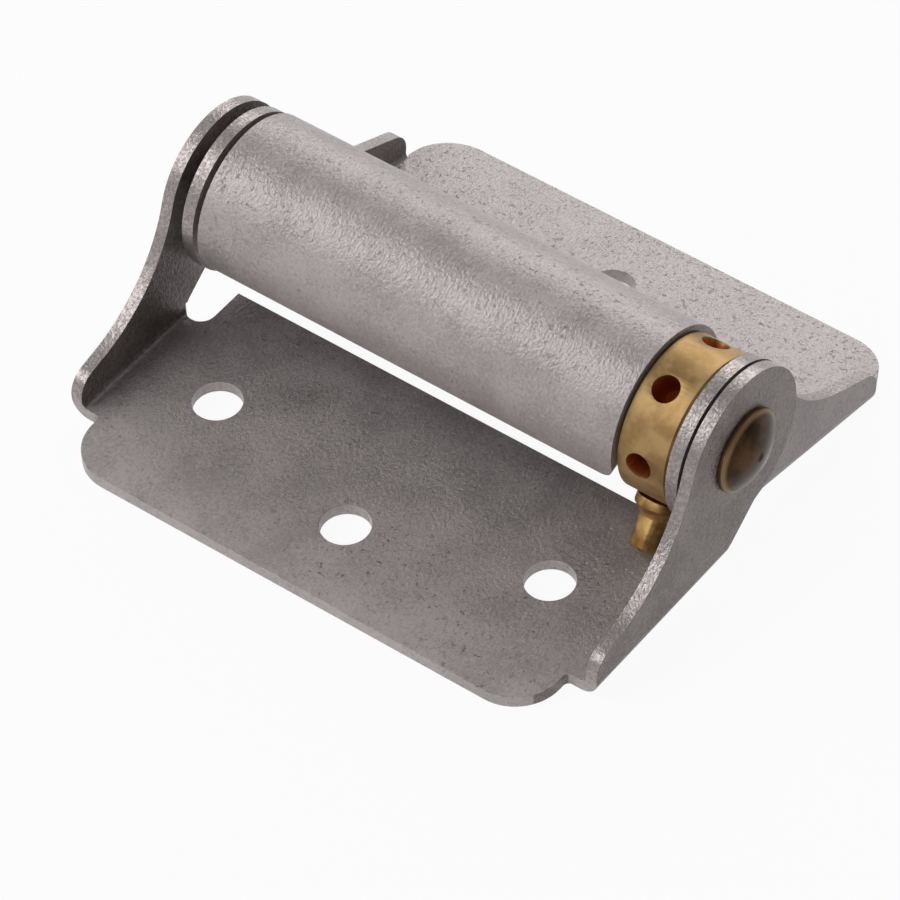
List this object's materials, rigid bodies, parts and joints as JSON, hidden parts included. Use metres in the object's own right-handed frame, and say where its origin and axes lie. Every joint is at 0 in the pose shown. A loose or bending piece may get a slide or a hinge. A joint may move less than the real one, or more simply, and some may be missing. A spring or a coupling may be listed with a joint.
{
  "type": "spring hinge",
  "caption": "Full-surface door hinge of bent steel sheet, with a torsion spring under a curled cover and a brass collar whose shouldered pin sets the closing force.",
  "frame": {"origin": "On the mounting face of the front leaf, midway between its two screw holes that are level with each other.", "axes": "+X runs along the hinge pin towards the tension collar, +Y from the front leaf towards the rear leaf, +Z out of the mounting face towards the hinge pin."},
  "size_m": [0.08, 0.0719, 0.0313],
  "materials": {
    "galvanised_steel": "dull galvanised sheet",
    "dark_brass": "dark antique brass",
    "satin_brass": "satin, slightly tarnished",
    "turned_brass": "turned, fairly bright",
    "spring_steel": "oiled spring wire"
  },
  "bodies": {
    "front_leaf": {"front_leaf": "galvanised_steel", "hinge_pin": "dark_brass"},
    "rear_leaf": {"rear_leaf": "galvanised_steel", "torsion_spring": "spring_steel"},
    "tension_collar": {"tension_collar": "satin_brass", "tension_pin": "turned_brass"}
  },
  "joints": [
    {"name": "leaf_hinge", "type": "hinge", "parent": "front_leaf", "child": "rear_leaf", "pos_m": [0, 0.01865, 0.0156], "axis": [1, 0, 0], "range_deg": [-23, 230], "stiffness_Nm_per_rad": 0.3, "deforming": ["torsion_spring"]},
    {"name": "collar_turn", "type": "hinge", "parent": "front_leaf", "child": "tension_collar", "pos_m": [0, 0.01865, 0.0156], "axis": [1, 0, 0], "range_deg": [-180, 0], "stiffness_Nm_per_rad": 0.3, "deforming": ["torsion_spring"]}
  ]
}
